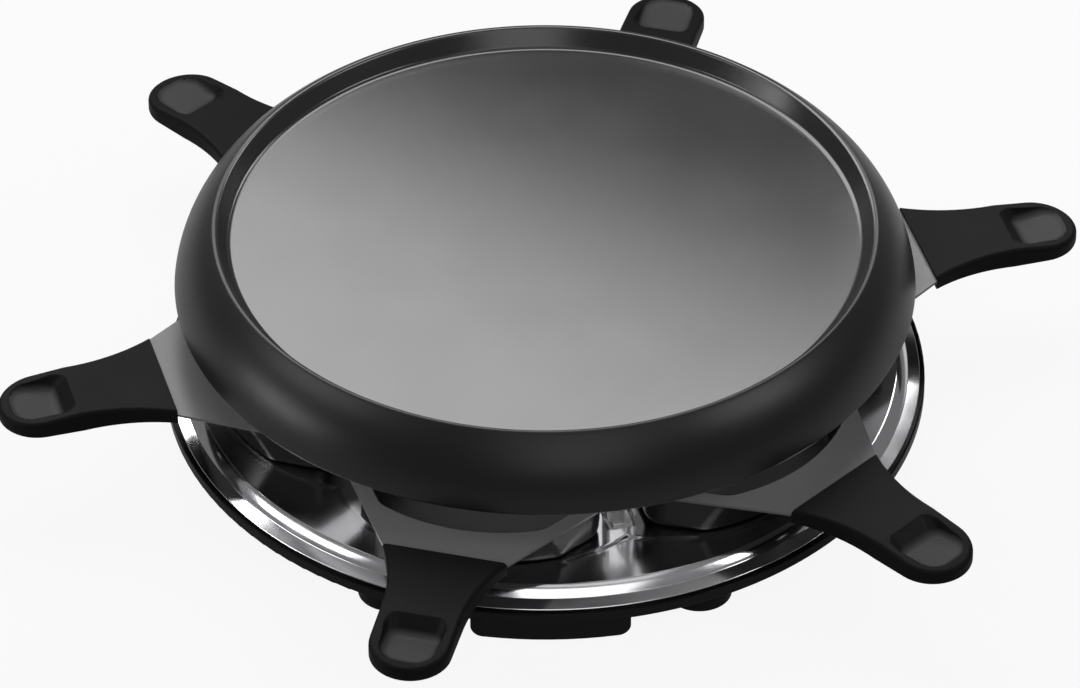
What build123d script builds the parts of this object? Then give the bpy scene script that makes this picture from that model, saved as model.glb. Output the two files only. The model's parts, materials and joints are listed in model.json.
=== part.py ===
from build123d import *
from math import asin, cos, degrees, pi, radians, sin, sqrt, tan
import os

# A round six-pan raclette grill. Millimetres, +Z up, the front towards -Y.
# The origin is on the table, under the middle of the grill.

# The six pan places round the grill
pan_count = 6
front_pan_azimuth = -104.2
place_angle = 360 / pan_count
boundary_azimuth = front_pan_azimuth + place_angle / 2

# Gaps shared by all the pieces
rest_gap = 0.3
fixed_gap = 0.1
overrun = 1.0

# Base shell, moulded in black plastic; the rest of the grill follows its radius
base_radius = 164.8
lip_width = 1.9
lip_top = 15.9
lip_bottom = 10.4
lip_fillet = 0.8
shell_wall = 2.0
floor_bottom = 3.0
drop_wall_step = 14.8
post_radius = 7.0
vent_count = 18
vent_length = 22.0
vent_width = 4.0
vent_ring_share = 0.376

# Front tab of the base shell, its face left bare
tab_width = 67.3
tab_shift = 2.4
tab_bottom = 1.2
tab_setback = 0.8
tab_depth = 4.0
tab_corner = 5.0

# Feet
foot_radius = 14.0
foot_step = 18.3
foot_bottom = 0.8
foot_spread_angle = 26.3
foot_group_count = 3
pad_radius = 10.0
pad_sink = 1.0

# Reflector tray, pressed from bright sheet
tray_sheet = 1.0
tray_floor_top = 22.2
shoulder_step = 7.8
shoulder_width = 4.4
shoulder_top = 18.3
tray_edge_top = 16.6
lobe_step = 20.8
lobe_share = 0.517
lobe_rise = 0.8
lobe_ramp = 2.8

# Grill plate, cast and coated
plate_top = 87.3
plate_thickness = 4.5
skirt_step = 5.2
skirt_round = 43.4
skirt_widest = 60.8
skirt_bottom = 64.6
skirt_wall = 3.4
skirt_edge = 1.5
crest_step = 18.6
crest_round = 1.8
well_run = 5.1
hollow_top = 88.0
hollow_run = 2.6
well_wall = 4.0
well_fillet = 2.5

# Support brackets and heating element
bracket_sheet = 1.2
bracket_width = 12.6
bracket_inset = 23.9
bracket_depth = 6.5
cradle_length = 20.0
cradle_width = 8.0
bracket_bend = 1.5
bracket_pad_top = 75.2
bracket_pad_length = 11.0
foot_tongue_width = 8.4
foot_tongue_reach = 8.6
foot_plate_length = 15.0
boss_radius = 5.0
spigot_radius = 1.8
spigot_length = 1.8
element_inset = 12.0
element_tube = 3.2
element_height = 56.0
element_bend = 12.0
element_leg_inset = 10.0
element_leg_spread = 8.0
element_leg_bottom = 14.0
clip_sheet = 0.8
clip_width = 8.0
clip_foot = 3.2

# Pan bowls and their flanges, pressed from coated sheet
pan_sheet = 1.2
flange_top = 47.2
bowl_end_step = 12.8
bowl_end_round = 79.0
bowl_front_corner = 10.0
bowl_corner = 13.0
bowl_side_gap = 8.6
bowl_flare_margin = 6.3
bowl_inner_end = 58.0
bowl_inner_round = 9.0
bowl_front_slope = 8.7
bowl_side_slope = 1.8
bowl_foot_fillet = 4.0
flange_side_gap = 7.4
flange_inner_end = 53.0
flange_inner_corner = 8.0
rim_fillet = 2.0
tongue_half_width = 26.5
tongue_flare = 32.8
flange_corner = 7.0
tongue_in_handle = 17.0
tongue_in_handle_half_width = 19.0

# Pan handles, moulded in black plastic
handle_root_step = 4.5
handle_length = 72.1
handle_top = 48.8
handle_root_thickness = 6.6
handle_grip_thickness = 9.5
handle_root_half_width = 26.8
waist_run = 38.7
handle_waist_half_width = 17.3
handle_end_sag = 3.4
handle_edge = 1.1
handle_top_edge = 2.0
scoop_length = 28.6
scoop_margin = 3.6
scoop_wall_run = 6.8
scoop_depth = 6.2
scoop_end_lip = 1.1
scoop_half_width = 13.0
scoop_corner = 5.0
scoop_end_corner = 10.5

# Screws
screw_radius = 1.9
screw_head_radius = 3.6
screw_head_height = 2.0
screw_length = 12.0
screw_socket_radius = 1.1
screw_socket_depth = 1.0
pan_screw_radius = 1.5
pan_screw_head_radius = 2.9
pan_screw_head_height = 1.4
pan_screw_inset = 9.5
pan_screw_length = 4.6
pan_screw_seat = 43.8

# Wiring under the tray
bushing_radius = 5.6
bushing_flange_radius = 7.4
bushing_flange_height = 1.4
bushing_body_length = 6.0
pin_radius = 1.4
pin_length = 5.0
block_length = 24.0
block_width = 14.0
block_height = 9.0
block_inset = 38.0
block_screw_radius = 1.7
block_screw_height = 1.2
terminal_pitch = 7.0
terminal_height = 6.0
cutout_radius = 8.0
cutout_height = 6.0
cutout_step = 32.0
lead_radius = 1.2
lead_bend = 4.0
lead_run = 7.0
lead_detour = 14.0
gland_bore = 3.1
gland_body_radius = 3.8
gland_flange_radius = 4.2
gland_flange_depth = 1.8
gland_tail = 4.0
cover_length = 60.0
cover_width = 56.0
cover_thickness = 1.4
cover_corner = 6.0
cover_margin = 6.0
boss_height = 6.0
boss_wall = 2.1

# Heights and places worked out from the sizes above
plane_up = (0, 0, 1)
drop_wall_radius = base_radius - drop_wall_step
lip_inner_radius = base_radius - lip_width
tray_edge_radius = lip_inner_radius - rest_gap
shoulder_radius = base_radius - shoulder_step
tray_floor_radius = shoulder_radius - shoulder_width
lobe_reach = base_radius - lobe_step
lobe_radius = lobe_reach * lobe_share
lobe_centre = lobe_reach - lobe_radius
skirt_radius = base_radius - skirt_step
crest_radius = skirt_radius - crest_step
plate_flat_radius = crest_radius - well_run
bracket_web = plate_flat_radius - bracket_inset
bracket_screw_reach = bracket_web - foot_plate_length / 2
spigot_reach = bracket_web - bracket_pad_length / 2
element_radius = bracket_web - element_inset
element_leg_radius = drop_wall_radius - element_leg_inset
block_radius = drop_wall_radius - block_inset
cutout_centre = block_radius - cutout_step
vent_ring_radius = base_radius * vent_ring_share
tab_face_radius = base_radius - tab_setback
foot_ring_radius = base_radius - foot_step
bowl_end = base_radius - bowl_end_step
handle_root = base_radius + handle_root_step
handle_waist = handle_root + waist_run
handle_tip = handle_root + handle_length
scoop_end = handle_tip - scoop_margin
scoop_start = scoop_end - scoop_length
pan_screw_reach = handle_root + pan_screw_inset
floor_top = floor_bottom + shell_wall
lobe_top = tray_floor_top + lobe_rise
lobe_underside = lobe_top - tray_sheet
ledge_top = tray_edge_top - tray_sheet
ledge_bottom = ledge_top - shell_wall
plate_underside = plate_top - plate_thickness
pan_bottom = lobe_top + rest_gap
flange_bottom = flange_top - pan_sheet
handle_bottom = handle_top - handle_grip_thickness
bracket_foot_top = lobe_top + bracket_sheet
gland_height = (floor_top + ledge_bottom) / 2
cradle_top = element_height - element_tube
element_azimuth = boundary_azimuth + 3 * place_angle
bracket_azimuths = [boundary_azimuth + k * 2 * place_angle for k in range(3)]
pan_azimuths = [front_pan_azimuth + k * place_angle for k in range(pan_count)]
foot_azimuths = [
    -90 + k * 360 / foot_group_count + side * foot_spread_angle
    for k in range(foot_group_count)
    for side in (-1, 1)
]
hatch_corners = [
    (x * (cover_width - cover_margin) / 2 + block_radius, y * (cover_length - cover_margin) / 2)
    for x in (-1, 1)
    for y in (-1, 1)
]


def sector(azimuth, height):
    """Level plane at a height, with X pointing out along an azimuth."""
    return Plane(
        origin=(0, 0, height),
        x_dir=(cos(radians(azimuth)), sin(radians(azimuth)), 0),
        z_dir=plane_up,
    )


def side_plane(azimuth, offset=0):
    """Upright plane through the axis: X points out along the azimuth, Y up."""
    across = (sin(radians(azimuth)), -cos(radians(azimuth)), 0)
    return Plane(
        origin=(0, 0, 0),
        x_dir=(cos(radians(azimuth)), sin(radians(azimuth)), 0),
        z_dir=across,
    ).offset(offset)


def at(azimuth, radius, height, across=0):
    """Point of the grill, from its azimuth, radius, height and side step."""
    return sector(azimuth, height).from_local_coords(Vector(radius, across, 0))


def keep(builder, name):
    """Label a finished piece and write it as its own file."""
    builder.part.label = name
    export_step(builder.part, f"parts/{name}.step")


os.makedirs("parts", exist_ok=True)

# Front tab: a curved plate with rounded lower corners
with BuildPart() as front_tab:
    with BuildSketch(Plane.XY.offset(tab_bottom)):
        Circle(tab_face_radius)
        Circle(tab_face_radius - tab_depth, mode=Mode.SUBTRACT)
    extrude(amount=ledge_top - tab_bottom - shell_wall / 2)
    with BuildSketch(Plane.XZ) as tab_outline:
        with BuildLine():
            Polyline(
                (tab_shift - tab_width / 2, lip_top),
                (tab_shift - tab_width / 2, tab_bottom),
                (tab_shift + tab_width / 2, tab_bottom),
                (tab_shift + tab_width / 2, lip_top),
                close=True,
            )
        make_face()
        fillet(tab_outline.vertices().group_by(Axis.Y)[0], tab_corner)
    extrude(amount=base_radius, mode=Mode.INTERSECT)

# Base shell: floor, drop wall, ledge and lip in one turned section
with BuildPart() as base_shell:
    with BuildSketch(Plane.XZ) as shell_section:
        with BuildLine():
            Polyline(
                (0, floor_bottom),
                (drop_wall_radius, floor_bottom),
                (drop_wall_radius, ledge_bottom),
                (lip_inner_radius, ledge_bottom),
                (lip_inner_radius, lip_bottom),
                (base_radius, lip_bottom),
                (base_radius, lip_top),
                (lip_inner_radius, lip_top),
                (lip_inner_radius, ledge_top),
                (drop_wall_radius - shell_wall, ledge_top),
                (drop_wall_radius - shell_wall, floor_top),
                (0, floor_top),
                close=True,
            )
        make_face()
    revolve(axis=Axis.Z)
    fillet(base_shell.edges().filter_by(GeomType.CIRCLE).filter_by(
        lambda e: abs(e.radius - base_radius) < fixed_gap), lip_fillet)
    # Posts that carry the tray and take the bracket screws
    for azimuth in bracket_azimuths:
        with BuildSketch(sector(azimuth, floor_top - fixed_gap)):
            with Locations((bracket_screw_reach, 0)):
                Circle(post_radius)
        extrude(amount=lobe_underside - floor_top + fixed_gap)
    # Round feet below the floor, carried up to the ledge outside the drop wall
    with BuildSketch(Plane.XY.offset(foot_bottom)):
        for azimuth in foot_azimuths:
            with PolarLocations(foot_ring_radius, 1, start_angle=azimuth):
                Circle(foot_radius)
    extrude(amount=floor_bottom - foot_bottom)
    with BuildSketch(Plane.XY.offset(floor_bottom)):
        for azimuth in foot_azimuths:
            with PolarLocations(foot_ring_radius, 1, start_angle=azimuth):
                Circle(foot_radius)
        Circle(drop_wall_radius - shell_wall / 2, mode=Mode.SUBTRACT)
    extrude(amount=ledge_bottom + shell_wall / 2 - floor_bottom)
    with BuildSketch(Plane.XY.offset(foot_bottom)):
        for azimuth in foot_azimuths:
            with PolarLocations(foot_ring_radius, 1, start_angle=azimuth):
                Circle(pad_radius + fixed_gap)
    extrude(amount=pad_sink, mode=Mode.SUBTRACT)
    add(front_tab.part)
    # Vent slots in a ring
    with BuildSketch(Plane.XY.offset(floor_bottom)):
        with PolarLocations(vent_ring_radius, vent_count):
            SlotOverall(vent_length, vent_width)
    extrude(amount=shell_wall, mode=Mode.SUBTRACT)
    # Wiring hatch, closed by the cover
    with BuildSketch(sector(element_azimuth, floor_bottom)):
        with Locations((block_radius, 0)):
            RectangleRounded(cover_width - 2 * cover_margin, cover_length - 2 * cover_margin,
                             cover_corner)
    extrude(amount=shell_wall, mode=Mode.SUBTRACT)
    # Cord inlet through the drop wall
    gland_mouth = at(element_azimuth, drop_wall_radius + gland_flange_depth, gland_height)
    gland_out = at(element_azimuth, 1, 0)
    with BuildSketch(Plane(origin=gland_mouth, z_dir=gland_out)):
        Circle(gland_body_radius + fixed_gap)
    extrude(amount=-(gland_flange_depth + shell_wall + overrun), mode=Mode.SUBTRACT)
    # Notch in the lip that lets the cord out
    with BuildSketch(sector(element_azimuth, lip_bottom)):
        with Locations((base_radius, 0)):
            Rectangle(2 * lip_width + rest_gap, 2 * gland_flange_radius)
    extrude(amount=gland_height + gland_flange_radius - lip_bottom, mode=Mode.SUBTRACT)
    # Bosses for the cover screws
    with BuildSketch(sector(element_azimuth, floor_top - fixed_gap)):
        with Locations(*hatch_corners):
            Circle(pan_screw_radius + boss_wall)
    extrude(amount=boss_height)
    with BuildSketch(sector(element_azimuth, floor_bottom)):
        with Locations(*hatch_corners):
            Circle(pan_screw_radius + fixed_gap)
    extrude(amount=boss_height, mode=Mode.SUBTRACT)
    # Blind holes for the bracket screws
    for azimuth in bracket_azimuths:
        with BuildSketch(sector(azimuth, lobe_underside)):
            with Locations((bracket_screw_reach, 0)):
                Circle(screw_radius + fixed_gap)
        extrude(amount=-(lobe_underside - floor_top), mode=Mode.SUBTRACT)
keep(base_shell, "base_shell")

# Rubber pads let into the feet
with BuildPart() as foot_pads:
    with BuildSketch(Plane.XY):
        for azimuth in foot_azimuths:
            with PolarLocations(foot_ring_radius, 1, start_angle=azimuth):
                Circle(pad_radius)
    extrude(amount=foot_bottom + pad_sink)
keep(foot_pads, "foot_pads")

# Cover of the wiring hatch, and its four screws
with BuildPart() as base_cover:
    with BuildSketch(sector(element_azimuth, floor_bottom)):
        with Locations((block_radius, 0)):
            RectangleRounded(cover_width, cover_length, cover_corner)
        with Locations(*hatch_corners):
            Circle(pan_screw_radius + fixed_gap, mode=Mode.SUBTRACT)
    extrude(amount=-cover_thickness)
keep(base_cover, "base_cover")

with BuildPart() as cover_screws:
    with BuildSketch(sector(element_azimuth, floor_bottom - cover_thickness)):
        with Locations(*hatch_corners):
            Circle(pan_screw_head_radius)
    extrude(amount=-pan_screw_head_height + rest_gap)
    with BuildSketch(sector(element_azimuth, floor_bottom - cover_thickness)):
        with Locations(*hatch_corners):
            Circle(pan_screw_radius)
    extrude(amount=boss_height)
keep(cover_screws, "cover_screws")

# Reflector tray: a turned floor and shoulder with six pressed lobes
with BuildPart() as reflector_tray:
    with BuildSketch(Plane.XZ) as tray_section:
        with BuildLine():
            top_line = Line((0, tray_floor_top), (tray_floor_radius, tray_floor_top))
            shoulder = ThreePointArc(
                top_line @ 1,
                (shoulder_radius - (tray_floor_top - shoulder_top) * (1 - sin(pi / 4)),
                 tray_floor_top - (tray_floor_top - shoulder_top) * (1 - sin(pi / 4))),
                (shoulder_radius, shoulder_top),
            )
            Polyline(
                shoulder @ 1,
                (shoulder_radius + shoulder_top - tray_edge_top, tray_edge_top),
                (tray_edge_radius, tray_edge_top),
            )
            offset(amount=tray_sheet, side=Side.RIGHT)
        make_face()
    revolve(axis=Axis.Z)
    # The lobes stand a little proud of the floor on a shallow ramp, one to each pan
    for azimuth in pan_azimuths:
        for height, mode in ((tray_floor_top, Mode.ADD), (tray_floor_top - tray_sheet, Mode.SUBTRACT)):
            with Locations(at(azimuth, lobe_centre, height)):
                Cone(lobe_radius + lobe_ramp, lobe_radius, lobe_rise,
                     align=(Align.CENTER, Align.CENTER, Align.MIN), mode=mode)
    for azimuth in bracket_azimuths:
        with BuildSketch(sector(azimuth, lobe_top)):
            with Locations((bracket_screw_reach, 0)):
                Circle(screw_radius + fixed_gap)
        extrude(amount=-2 * tray_sheet, mode=Mode.SUBTRACT)
    with BuildSketch(sector(element_azimuth, tray_floor_top)):
        with Locations((element_leg_radius, -element_leg_spread),
                       (element_leg_radius, element_leg_spread)):
            Circle(bushing_radius + fixed_gap)
    extrude(amount=-2 * tray_sheet, mode=Mode.SUBTRACT)
keep(reflector_tray, "reflector_tray")

# Support brackets: bent strips that carry the element and the grill plate
for number, azimuth in enumerate(bracket_azimuths, start=1):
    with BuildPart() as bracket:
        # Foot plate, web and top pad, bent from one strip
        with BuildSketch(side_plane(azimuth)):
            with BuildLine():
                strip = FilletPolyline(
                    (bracket_web - foot_plate_length, lobe_top),
                    (bracket_web, lobe_top),
                    (bracket_web, bracket_pad_top),
                    (bracket_web - bracket_pad_length, bracket_pad_top),
                    radius=bracket_bend,
                )
                offset(amount=bracket_sheet, side=Side.LEFT)
            make_face()
        extrude(amount=bracket_width / 2, both=True)
        # Side walls of the channel
        with BuildSketch(sector(azimuth, bracket_foot_top + bracket_bend)):
            with Locations((bracket_web + bracket_depth / 2 - fixed_gap, 0)):
                Rectangle(bracket_depth + 2 * fixed_gap, bracket_width)
                Rectangle(bracket_depth + 2 * fixed_gap, bracket_width - 2 * bracket_sheet,
                          mode=Mode.SUBTRACT)
        extrude(amount=bracket_pad_top - bracket_foot_top - 3 * bracket_bend)
        # Tongue that runs out past the web
        with BuildSketch(sector(azimuth, lobe_top)):
            with Locations((bracket_web + foot_tongue_reach / 2 - bracket_bend / 2, 0)):
                Rectangle(foot_tongue_reach + bracket_bend, foot_tongue_width)
        extrude(amount=bracket_sheet)
        # Cradle arm under the element tube, bent out of a window in the web
        with BuildSketch(side_plane(azimuth)):
            with Locations((bracket_web - cradle_length / 2, cradle_top - bracket_sheet / 2)):
                Rectangle(cradle_length, bracket_sheet)
        extrude(amount=cradle_width / 2, both=True)
        with BuildSketch(side_plane(azimuth)):
            with Locations((bracket_web, cradle_top - bracket_sheet - cradle_length / 2)):
                Rectangle(2 * bracket_sheet + overrun, cradle_length)
        extrude(amount=cradle_width / 2, both=True, mode=Mode.SUBTRACT)
        # Holes for the foot screw and the plate's spigot
        with BuildSketch(sector(azimuth, bracket_foot_top)):
            with Locations((bracket_screw_reach, 0)):
                Circle(screw_radius + fixed_gap)
        extrude(amount=-bracket_sheet, mode=Mode.SUBTRACT)
        with BuildSketch(sector(azimuth, bracket_pad_top)):
            with Locations((spigot_reach, 0)):
                Circle(spigot_radius + rest_gap)
        extrude(amount=-bracket_sheet, mode=Mode.SUBTRACT)
    keep(bracket, f"support_bracket_{number}")

with BuildPart() as bracket_screws:
    for azimuth in bracket_azimuths:
        with BuildSketch(sector(azimuth, bracket_foot_top)):
            with Locations((bracket_screw_reach, 0)):
                Circle(screw_head_radius)
        extrude(amount=screw_head_height)
        with BuildSketch(sector(azimuth, bracket_foot_top)):
            with Locations((bracket_screw_reach, 0)):
                Circle(screw_radius)
        extrude(amount=-screw_length)
        with BuildSketch(sector(azimuth, bracket_foot_top + screw_head_height)):
            with Locations((bracket_screw_reach, 0)):
                RegularPolygon(screw_socket_radius, 6)
        extrude(amount=-screw_socket_depth, mode=Mode.SUBTRACT)
keep(bracket_screws, "bracket_screws")

# Heating element: one tube, nearly a full ring, with two legs at the back
loop_angle = degrees(asin((element_leg_spread + element_bend) / (element_radius + element_bend)))
loop_turn = (element_radius + element_bend) * cos(radians(loop_angle))
with BuildPart() as heating_element:
    with BuildLine(sector(element_azimuth, element_height)) as element_path:
        loop_start = (element_radius * cos(radians(loop_angle)),
                      element_radius * sin(radians(loop_angle)))
        loop_end = (loop_start[0], -loop_start[1])
        ThreePointArc(loop_start, (-element_radius, 0), loop_end)
        for side, end in ((1, loop_start), (-1, loop_end)):
            out_start = (loop_turn, side * element_leg_spread)
            turn_centre = (loop_turn, side * (element_leg_spread + element_bend))
            middle = Vector(*turn_centre) + (Vector(*end) + Vector(*out_start)
                                             - 2 * Vector(*turn_centre)).normalized() * element_bend
            ThreePointArc(end, (middle.X, middle.Y), out_start)
            FilletPolyline(
                (*out_start, 0),
                (element_leg_radius, side * element_leg_spread, 0),
                (element_leg_radius, side * element_leg_spread, element_leg_bottom - element_height),
                radius=element_bend / 2,
            )
    with BuildSketch(Plane(origin=at(element_azimuth, element_leg_radius, element_leg_bottom,
                                     element_leg_spread), z_dir=plane_up)):
        Circle(element_tube)
    sweep(path=element_path.wires()[0])
    for side in (-1, 1):
        with BuildSketch(sector(element_azimuth, element_leg_bottom)):
            with Locations((element_leg_radius, side * element_leg_spread)):
                Circle(pin_radius)
        extrude(amount=-pin_length)
keep(heating_element, "heating_element")

# Clips that hold the tube down on the cradle arms
clip_inner = element_tube + fixed_gap
clip_outer = clip_inner + clip_sheet
with BuildPart() as element_clips:
    for azimuth in bracket_azimuths:
        with BuildSketch(side_plane(azimuth)):
            with Locations((element_radius, element_height)):
                Circle(clip_outer)
            with Locations((element_radius, (element_height + cradle_top) / 2)):
                Rectangle(2 * clip_outer, element_tube)
            with Locations((element_radius, cradle_top + clip_sheet / 2)):
                Rectangle(2 * (clip_outer + clip_foot), clip_sheet)
            with Locations((element_radius, element_height)):
                Circle(clip_inner, mode=Mode.SUBTRACT)
            with Locations((element_radius, (element_height + cradle_top) / 2)):
                Rectangle(2 * clip_inner, element_tube, mode=Mode.SUBTRACT)
            with Locations((element_radius, cradle_top - clip_outer)):
                Rectangle(2 * base_radius, 2 * clip_outer, mode=Mode.SUBTRACT)
        extrude(amount=clip_width / 2, both=True)
keep(element_clips, "element_clips")

# Ceramic bushings where the legs pass through the tray
with BuildPart() as element_bushings:
    leg_places = [(element_leg_radius, side * element_leg_spread) for side in (-1, 1)]
    with BuildSketch(sector(element_azimuth, tray_floor_top)):
        with Locations(*leg_places):
            Circle(bushing_flange_radius)
    extrude(amount=bushing_flange_height)
    with BuildSketch(sector(element_azimuth, tray_floor_top)):
        with Locations(*leg_places):
            Circle(bushing_radius)
    extrude(amount=-bushing_body_length)
    with BuildSketch(sector(element_azimuth, tray_floor_top + bushing_flange_height)):
        with Locations(*leg_places):
            Circle(element_tube + fixed_gap)
    extrude(amount=-bushing_flange_height - bushing_body_length, mode=Mode.SUBTRACT)
keep(element_bushings, "element_bushings")

# Terminal block on the hatch cover, and the cut-out under the tray
with BuildPart() as terminal_block:
    with BuildSketch(sector(element_azimuth, floor_bottom)):
        with Locations((block_radius, 0)):
            Rectangle(block_width, block_length)
    extrude(amount=block_height)
    terminals = [(block_radius, k * terminal_pitch) for k in (-1, 0, 1)]
    with BuildSketch(sector(element_azimuth, floor_bottom + block_height)):
        with Locations(*terminals):
            Circle(block_screw_radius)
    extrude(amount=-block_screw_height, mode=Mode.SUBTRACT)
keep(terminal_block, "terminal_block")

with BuildPart() as thermal_cutout:
    with BuildSketch(sector(element_azimuth, lobe_underside)):
        with Locations((cutout_centre, 0)):
            Circle(cutout_radius)
    extrude(amount=-cutout_height)
keep(thermal_cutout, "thermal_cutout")

# Leads between the block, the cut-out, the element pins and the tray
block_front = block_radius + block_width / 2
block_back = block_radius - block_width / 2
lead_height = floor_bottom + terminal_height
cutout_lead_height = lobe_underside - cutout_height / 2
cutout_wall = cutout_centre + cutout_radius
pin_side = pin_radius + fixed_gap
lead_paths = {
    "live_lead": [
        (block_back, terminal_pitch, lead_height),
        (block_back - lead_run, terminal_pitch, lead_height),
        (block_back - lead_run, 0, cutout_lead_height),
        (cutout_wall + fixed_gap, 0, cutout_lead_height),
    ],
    "cutout_lead": [
        (cutout_centre, -cutout_radius - fixed_gap, cutout_lead_height),
        (cutout_centre, -cutout_radius - lead_detour, cutout_lead_height),
        (element_leg_radius, -cutout_radius - lead_detour, lead_height + lead_run / 2),
        (element_leg_radius, -element_leg_spread - pin_side, lead_height + lead_run / 2),
    ],
    "neutral_lead": [
        (block_front, terminal_pitch, lead_height),
        (block_front + lead_run / 2, terminal_pitch, lead_height),
        (block_front + 3 * lead_run / 2, element_leg_spread, lead_height + lead_run / 2),
        (element_leg_radius - pin_side, element_leg_spread, lead_height + lead_run / 2),
    ],
    "earth_lead": [
        (block_front, 0, lead_height),
        (block_front + 2 * lead_run, 0, lead_height),
        (block_front + 2 * lead_run, 0, tray_floor_top - tray_sheet - fixed_gap),
    ],
}
for name, corners in lead_paths.items():
    points = [at(element_azimuth, radius, height, across) for radius, across, height in corners]
    with BuildPart() as lead:
        with BuildLine() as lead_path:
            FilletPolyline(*points, radius=lead_bend / 2)
        with BuildSketch(Plane(origin=lead_path.line @ 0, z_dir=lead_path.line % 0)):
            Circle(lead_radius)
        sweep(path=lead_path.wires()[0])
    keep(lead, name)

# Cord gland in the drop wall, its bore left empty
with BuildPart() as cord_gland:
    with BuildSketch(Plane(origin=gland_mouth, z_dir=gland_out)):
        Circle(gland_flange_radius)
    extrude(amount=-gland_flange_depth)
    with BuildSketch(Plane(origin=gland_mouth, z_dir=gland_out)):
        Circle(gland_body_radius)
    extrude(amount=-gland_flange_depth - shell_wall - gland_tail)
    with BuildSketch(Plane(origin=gland_mouth, z_dir=gland_out)):
        Circle(gland_bore)
    extrude(amount=-gland_flange_depth - shell_wall - gland_tail, mode=Mode.SUBTRACT)
keep(cord_gland, "cord_gland")

# Grill plate: cast dish with a narrow crest and a deep curved skirt
skirt_centre = skirt_radius - skirt_round
skirt_inner_round = skirt_round - skirt_wall


def skirt_point(round_radius, radius):
    """Point of a skirt face at a distance from the axis."""
    return (radius, skirt_widest + sqrt(round_radius**2 - (radius - skirt_centre)**2))


def skirt_reach(round_radius, height):
    """Distance from the axis of a skirt face at a height."""
    return skirt_centre + sqrt(round_radius**2 - (height - skirt_widest)**2)


hollow_outer = skirt_reach(skirt_inner_round, hollow_top)
skirt_foot = skirt_reach(skirt_round, skirt_bottom)
skirt_inner_foot = skirt_reach(skirt_inner_round, skirt_bottom)
crest_rise = skirt_point(skirt_round, crest_radius)[1]
skirt_middle = skirt_centre + skirt_round * cos(pi / 4)
skirt_inner_middle = skirt_centre + skirt_inner_round * cos(pi / 6)
with BuildPart() as grill_plate:
    with BuildSketch(Plane.XZ) as plate_section:
        with BuildLine():
            Polyline(
                (0, plate_underside),
                (0, plate_top),
                (plate_flat_radius, plate_top),
                (crest_radius, crest_rise),
            )
            ThreePointArc(
                (crest_radius, crest_rise),
                skirt_point(skirt_round, skirt_middle),
                (skirt_foot, skirt_bottom),
            )
            Line((skirt_foot, skirt_bottom), (skirt_inner_foot, skirt_bottom))
            ThreePointArc(
                (skirt_inner_foot, skirt_bottom),
                skirt_point(skirt_inner_round, skirt_inner_middle),
                (hollow_outer, hollow_top),
            )
            Polyline(
                (hollow_outer, hollow_top),
                (hollow_outer - hollow_run, hollow_top),
                (plate_flat_radius + well_wall, plate_underside),
                (0, plate_underside),
            )
        make_face()
        fillet(plate_section.vertices().filter_by(
            lambda v: abs(v.X - crest_radius) < fixed_gap and v.Y > plate_top), crest_round)
        fillet(plate_section.vertices().filter_by(
            lambda v: abs(v.X - plate_flat_radius) < fixed_gap and v.Y > plate_underside),
            well_fillet)
        fillet(plate_section.vertices().filter_by(
            lambda v: abs(v.Y - skirt_bottom) < fixed_gap), skirt_edge)
    revolve(axis=Axis.Z)
    # Bosses and spigots that sit on the bracket pads
    for azimuth in bracket_azimuths:
        with BuildSketch(sector(azimuth, bracket_pad_top + rest_gap)):
            with Locations((spigot_reach, 0)):
                Circle(boss_radius)
        extrude(amount=plate_underside + fixed_gap - bracket_pad_top - rest_gap)
        with BuildSketch(sector(azimuth, bracket_pad_top + rest_gap)):
            with Locations((spigot_reach, 0)):
                Circle(spigot_radius)
        extrude(amount=-spigot_length)
keep(grill_plate, "grill_plate")

# One pan, drawn along X and then turned to its six places
side_slope = tan(radians(place_angle / 2))


def side_line(radius, gap):
    """Half-width left at a radius by a gap to the border with the next place."""
    return radius * side_slope - gap / cos(radians(place_angle / 2))


flare = tan(radians(tongue_flare))


def corner_at(front_half_width, gap):
    """Where a flared front edge meets the side, as distance and half-width."""
    distance = (front_half_width + flare * handle_root
                + gap / cos(radians(place_angle / 2))) / (flare + side_slope)
    return distance, side_line(distance, gap)


def bowl_outline(height, side_inset, front_inset):
    """Bowl outline at a height, drawn in from the rim by two insets."""
    gap = bowl_side_gap + side_inset
    front_half = tongue_half_width - (bowl_flare_margin + side_inset) / cos(radians(tongue_flare))
    corner_distance, corner_half = corner_at(front_half, gap)
    inner_end = bowl_inner_end + side_inset
    half = [
        (inner_end, side_line(inner_end, gap)),
        (corner_distance, corner_half),
        (handle_root, front_half),
    ]
    with BuildSketch(Plane.XY.offset(height)) as outline:
        with BuildLine():
            Polyline(*half, *[(x, -y) for x, y in reversed(half)], close=True)
        make_face()
        with Locations((bowl_end - front_inset - bowl_end_round + side_inset, 0)):
            Circle(bowl_end_round - side_inset, mode=Mode.INTERSECT)
        fillet(outline.vertices().group_by(Axis.X)[-1], bowl_front_corner)
        fillet(outline.vertices().filter_by(lambda v: abs(v.X - corner_distance) < fixed_gap),
               bowl_corner - side_inset)
        fillet(outline.vertices().group_by(Axis.X)[0], bowl_inner_round - side_inset)
    return outline.sketch


flange_corner_distance, flange_corner_half = corner_at(tongue_half_width, flange_side_gap)
with BuildSketch(Plane.XY) as flange_outline:
    with BuildLine():
        half = [
            (flange_inner_end, side_line(flange_inner_end, flange_side_gap)),
            (flange_corner_distance, flange_corner_half),
            (handle_root - fixed_gap, tongue_half_width),
            (handle_root - fixed_gap, tongue_in_handle_half_width),
            (handle_root + tongue_in_handle, tongue_in_handle_half_width),
        ]
        Polyline(*half, *[(x, -y) for x, y in reversed(half)], close=True)
    make_face()
    fillet(flange_outline.vertices().group_by(Axis.X)[0], flange_inner_corner)
    fillet(flange_outline.vertices().filter_by(
        lambda v: abs(v.X - flange_corner_distance) < fixed_gap), flange_corner)

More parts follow.
